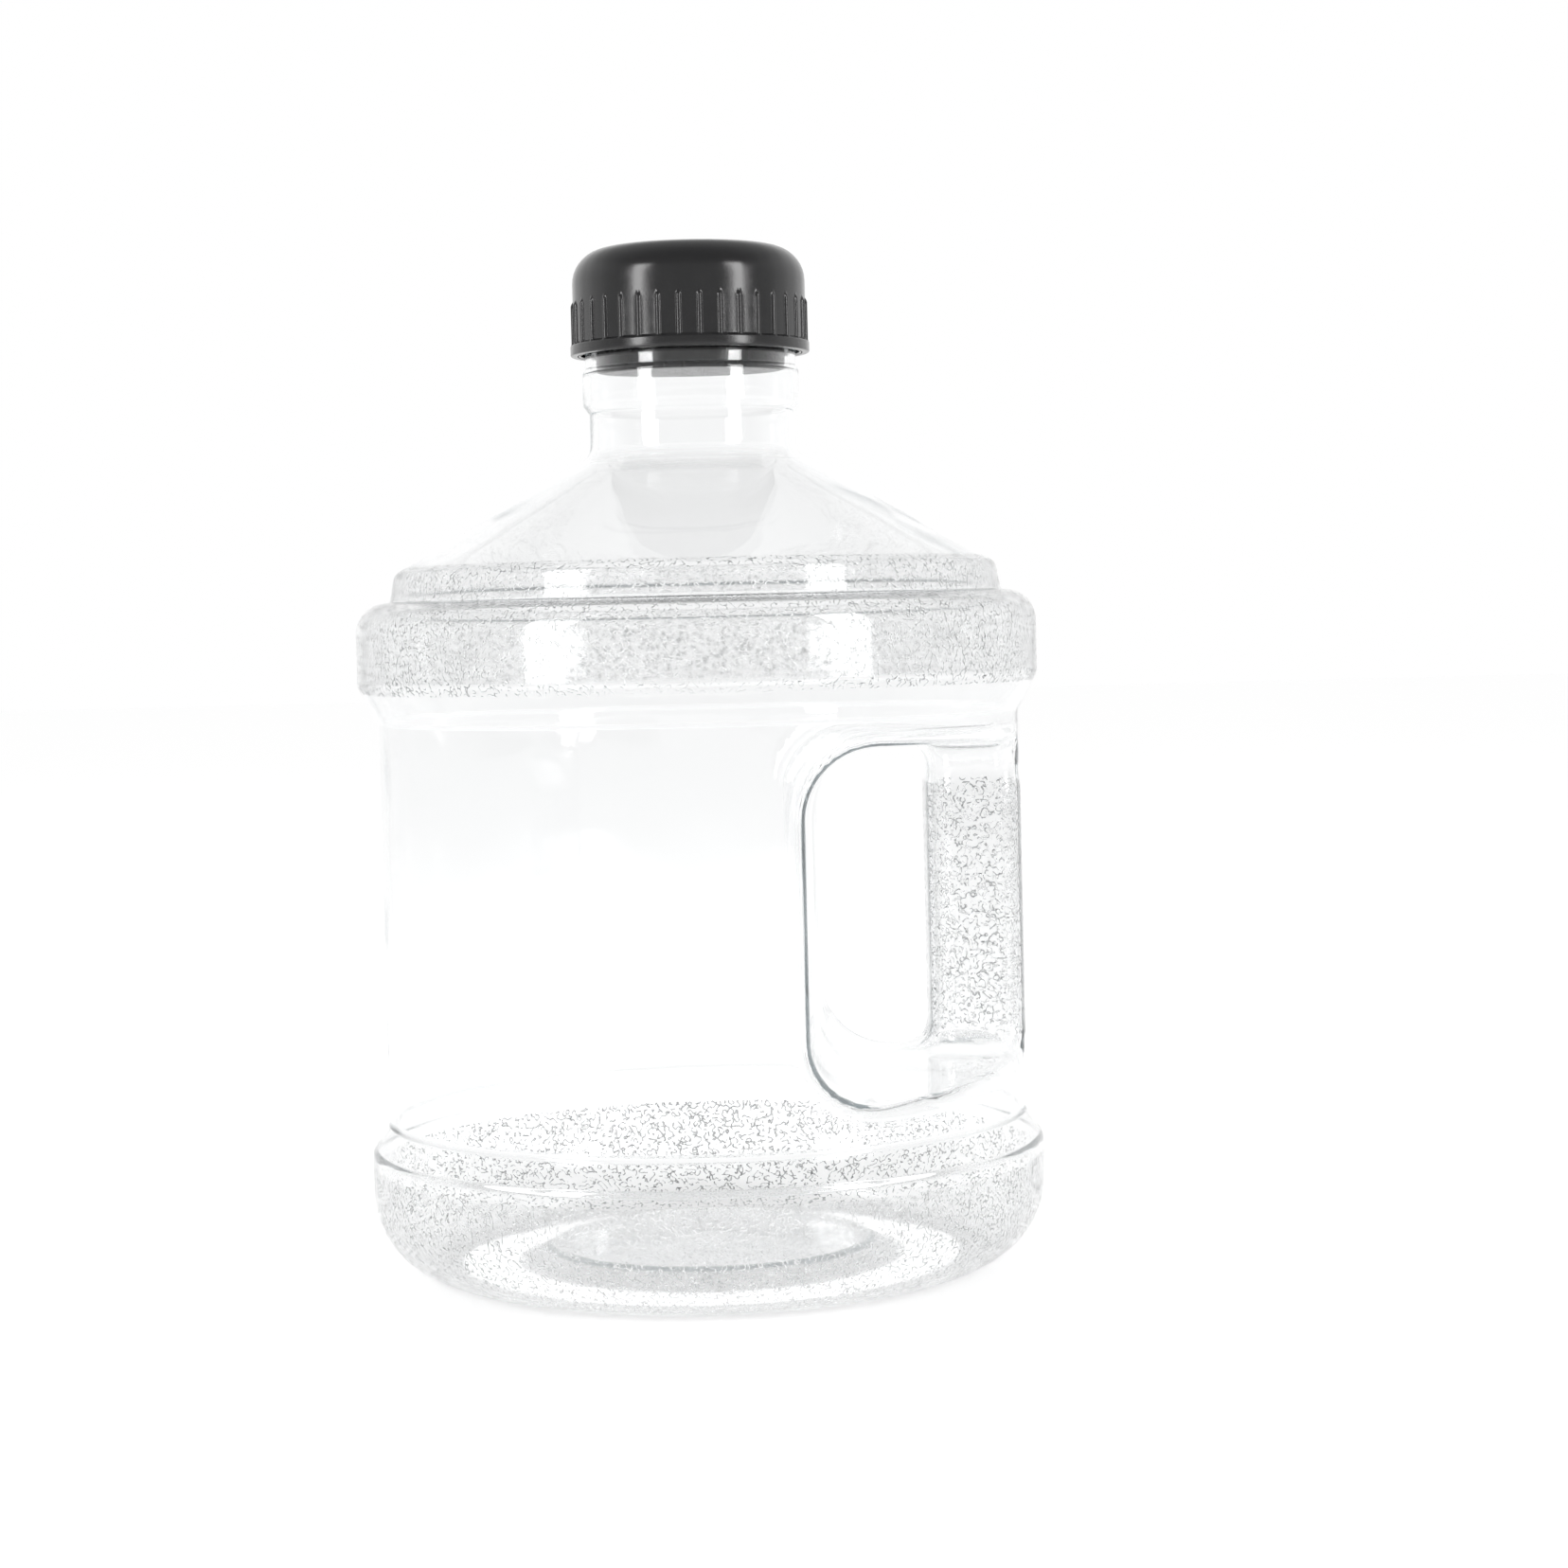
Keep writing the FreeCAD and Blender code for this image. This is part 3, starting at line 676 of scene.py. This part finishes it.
def clear_plastic(name):
    """Clear blown plastic: a little absorption, faint waves, and worm grain on the textured bands, with
    painted grey shade on the worms and a fainter painted shade over each whole grained band.
    """
    shader = Shader(name)
    axes = shader.add("ShaderNodeSeparateXYZ")
    shader.link(shader.place, axes.inputs[0])
    x, z = axes.outputs["X"], axes.outputs["Z"]
    outside = shader.add("ShaderNodeAttribute", attribute_name=OUTSIDE).outputs["Fac"]
    soft = GRAIN_EDGE * MM
    base = shader.band(z, -1.0, GRAIN_BASE_TOP * MM, soft)
    rings = shader.band(z, GRAIN_RING_LOW * MM, GRAIN_RING_TOP * MM, soft)
    grip = shader.band(z, GRIP_LOW * MM, GRIP_HIGH * MM, soft)
    grip = shader.math("MULTIPLY", grip, shader.step(x, (HANDLE_IN - 2) * MM, soft))
    where = shader.math("ADD", base, shader.math("ADD", rings, grip))
    where = shader.math("MULTIPLY", where, outside)
    worms = shader.math("MULTIPLY", worm_grain(shader), where)
    waves = shader.bump(shader.noise(28, 1.0), WAVE_DEPTH)
    normal = shader.bump(worms, GRAIN_DEPTH, waves)
    # painted shade: the worms are tinted grey, and each grained band a little grey all over, in the
    # colour
    painted_shade_mix = shader.add("ShaderNodeMix", data_type="RGBA")
    band_shade = shader.math("MULTIPLY", where, BAND_PAINTED_SHADE)
    painted_shade = shader.math("MULTIPLY_ADD", worms, 1 - BAND_PAINTED_SHADE, band_shade)
    shader.link(painted_shade, painted_shade_mix.inputs["Factor"])
    painted_shade_mix.inputs["A"].default_value = CLEAR_TINT
    painted_shade_mix.inputs["B"].default_value = GRAIN_PAINTED_SHADE
    frost = shader.math("MULTIPLY_ADD", where, GRAIN_FROST, CLEAR_ROUGHNESS)
    shader.set(Base_Color=painted_shade_mix.outputs["Result"], Roughness=frost, IOR=1.5)
    shader.set(Transmission_Weight=1.0, Normal=normal)
    absorb = shader.add("ShaderNodeVolumeAbsorption")
    absorb.inputs["Color"].default_value = (0.72, 0.75, 0.76, 1)
    absorb.inputs["Density"].default_value = ABSORPTION
    shader.link(absorb.outputs[0], shader.output.inputs["Volume"])
    return shader.material


def worm_grain(shader):
    """Short raised worms: thin bands where a noise passes its middle value, broken by another noise."""
    level = shader.math("ABSOLUTE", shader.math("SUBTRACT", shader.noise(WORM_SIZE, 0.0), 0.5))
    band = shader.math("SUBTRACT", 1.0, shader.math("DIVIDE", level, WORM_HALF_WIDTH), clamp=True)
    gaps = shader.step(shader.noise(WORM_SIZE * 0.9, 0.0), 0.46, 0.06)
    return shader.math("MULTIPLY", shader.math("SMOOTH_MIN", band, 0.8, 0.3), gaps)


def dark_plastic(name, colour, rough, grain):
    """Dark moulded plastic: fine grain, a little unevenness in colour and gloss."""
    shader = Shader(name)
    mottle = shader.noise(6, 3.0)
    mix = shader.add("ShaderNodeMix", data_type="RGBA")
    shader.link(mottle, mix.inputs["Factor"])
    mix.inputs["A"].default_value = (*(c * 0.88 for c in colour), 1)
    mix.inputs["B"].default_value = (*(c * 1.12 for c in colour), 1)
    fine = shader.bump(shader.noise(0.35, 2.0, 0.6), grain)
    normal = shader.bump(shader.noise(5, 1.0), 0.02, fine)
    gloss = shader.ranged(shader.noise(3, 3.0), rough - 0.05, rough + 0.07)
    shader.set(Base_Color=mix.outputs["Result"], Roughness=gloss, IOR=1.5, Normal=normal)
    return shader.material


def silicone(name):
    """Matt translucent grey silicone."""
    shader = Shader(name)
    speckle = shader.noise(1.2, 3.0)
    mix = shader.add("ShaderNodeMix", data_type="RGBA")
    shader.link(speckle, mix.inputs["Factor"])
    mix.inputs["A"].default_value = (0.56, 0.57, 0.57, 1)
    mix.inputs["B"].default_value = (0.68, 0.69, 0.69, 1)
    normal = shader.bump(shader.noise(0.3, 2.0), 0.01)
    shader.set(Base_Color=mix.outputs["Result"], Roughness=0.55, IOR=1.43, Normal=normal)
    shader.set(Subsurface_Weight=0.2, Subsurface_Scale=0.002)
    return shader.material


# ---------------------------------------------------------------- studio

FLOOR_GLOW = 0.56
# the world's strength overhead and at the horizon, the elevations between which it falls, its
# share on the camera's side, and the directions along Y between which that share fades out
SKY_HIGH, SKY_LOW = 0.58, 1.05
SKY_FALL = (22, 48)
FRONT_SHARE = 0.5
FRONT_FALL = (-0.4, 0.5)
SOFTBOX_REACH = 1.3
FOCAL_LENGTH = 75.3
DISTANCE = 0.825
EYE_HEIGHT = 0.1630
PITCH_DOWN = 2.0
SHIFT_DOWN = 0.0352
YAW_RIGHT = 1.48
ROLL = 1.35
# light runs a long way inside the thin wall where it is seen edge-on
WALL_BOUNCES = 256


def make_floor():
    """A wide pale floor, lit from within like a light table so that it stays pale."""
    mesh = bpy.data.meshes.new("floor")
    half = 6.0
    corners = [(-half, -half, 0), (half, -half, 0), (half, half, 0), (-half, half, 0)]
    mesh.from_pydata(corners, [], [(0, 1, 2, 3)])
    floor = bpy.data.objects.new("floor", mesh)
    bpy.context.scene.collection.objects.link(floor)
    shader = Shader("pale_floor")
    shader.set(Base_Color=(0.8, 0.8, 0.8, 1), Roughness=0.9, Specular_IOR_Level=0.0)
    shader.set(Emission_Color=(1, 1, 1, 1), Emission_Strength=FLOOR_GLOW)
    mesh.materials.append(shader.material)


def make_world():
    """White near the horizon, greyer overhead and on the camera's side; plain white backdrop."""
    world = bpy.data.worlds.new("studio")
    bpy.context.scene.world = world
    world.use_nodes = True
    tree = world.node_tree
    tree.nodes.clear()
    place = tree.nodes.new("ShaderNodeTexCoord")
    axes = tree.nodes.new("ShaderNodeSeparateXYZ")
    tree.links.new(place.outputs["Generated"], axes.inputs[0])
    fall = tree.nodes.new("ShaderNodeMapRange")
    fall.interpolation_type = "SMOOTHSTEP"
    fall.inputs["From Min"].default_value = math.sin(math.radians(SKY_FALL[0]))
    fall.inputs["From Max"].default_value = math.sin(math.radians(SKY_FALL[1]))
    fall.inputs["To Min"].default_value = SKY_LOW
    fall.inputs["To Max"].default_value = SKY_HIGH
    tree.links.new(axes.outputs["Z"], fall.inputs["Value"])
    front = tree.nodes.new("ShaderNodeMapRange")
    front.interpolation_type = "SMOOTHSTEP"
    front.inputs["From Min"].default_value = FRONT_FALL[0]
    front.inputs["From Max"].default_value = FRONT_FALL[1]
    front.inputs["To Min"].default_value = FRONT_SHARE
    front.inputs["To Max"].default_value = 1.0
    tree.links.new(axes.outputs["Y"], front.inputs["Value"])
    both = tree.nodes.new("ShaderNodeMath")
    both.operation = "MULTIPLY"
    tree.links.new(fall.outputs["Result"], both.inputs[0])
    tree.links.new(front.outputs["Result"], both.inputs[1])
    light_path = tree.nodes.new("ShaderNodeLightPath")
    light = tree.nodes.new("ShaderNodeBackground")
    light.inputs["Color"].default_value = (1, 1, 1, 1)
    tree.links.new(both.outputs[0], light.inputs["Strength"])
    backdrop = tree.nodes.new("ShaderNodeBackground")
    backdrop.inputs["Color"].default_value = (1, 1, 1, 1)
    mix = tree.nodes.new("ShaderNodeMixShader")
    tree.links.new(light_path.outputs["Is Camera Ray"], mix.inputs[0])
    tree.links.new(light.outputs[0], mix.inputs[1])
    tree.links.new(backdrop.outputs[0], mix.inputs[2])
    output = tree.nodes.new("ShaderNodeOutputWorld")
    tree.links.new(mix.outputs[0], output.inputs[0])


def make_softbox(name, azimuth, height, width, tall, power):
    """A softbox at an azimuth in degrees from the front, to the right, aimed at the jug."""
    light = bpy.data.lights.new(name, "AREA")
    light.shape = "RECTANGLE"
    light.size = width
    light.size_y = tall
    light.energy = power
    softbox = bpy.data.objects.new(name, light)
    bpy.context.scene.collection.objects.link(softbox)
    turn = math.radians(azimuth)
    softbox.location = (SOFTBOX_REACH * math.sin(turn), -SOFTBOX_REACH * math.cos(turn), height)
    aim = Vector((0, 0, 0.15)) - softbox.location
    softbox.rotation_euler = aim.to_track_quat("-Z", "Y").to_euler()
    softbox.visible_camera = False


def make_camera():
    """The camera: in front of the jug, a little above the middle, turned and rolled slightly."""
    lens = bpy.data.cameras.new("camera")
    lens.sensor_width = 36.0
    lens.lens = FOCAL_LENGTH
    lens.clip_start = 0.01
    camera = bpy.data.objects.new("camera", lens)
    bpy.context.scene.collection.objects.link(camera)
    lens.shift_y = -SHIFT_DOWN
    level = Matrix.Rotation(math.radians(90 - PITCH_DOWN), 4, "X")
    yaw = Matrix.Rotation(math.radians(-YAW_RIGHT), 4, "Z")
    roll = Matrix.Rotation(math.radians(-ROLL), 4, "Z")
    camera.matrix_world = Matrix.Translation((0, -DISTANCE, EYE_HEIGHT)) @ yaw @ level @ roll
    bpy.context.scene.camera = camera


# ---------------------------------------------------------------- build

make_bottle(clear_plastic("clear_plastic"))
make_cap(dark_plastic("cap_plastic", (0.012, 0.012, 0.0125), 0.17, 0.012))
make_plug(dark_plastic("plug_plastic", (0.016, 0.016, 0.0165), 0.24, 0.008))
make_gasket(silicone("gasket_rubber"))

make_floor()
make_world()
make_softbox("softbox_left", -50, 0.55, 0.35, 0.9, 9.0)
make_softbox("softbox_right", 50, 0.55, 0.35, 0.9, 9.0)
make_camera()

scene = bpy.context.scene
scene.view_settings.view_transform = "Standard"
scene.cycles.max_bounces = WALL_BOUNCES
scene.cycles.transmission_bounces = WALL_BOUNCES
scene.cycles.glossy_bounces = WALL_BOUNCES
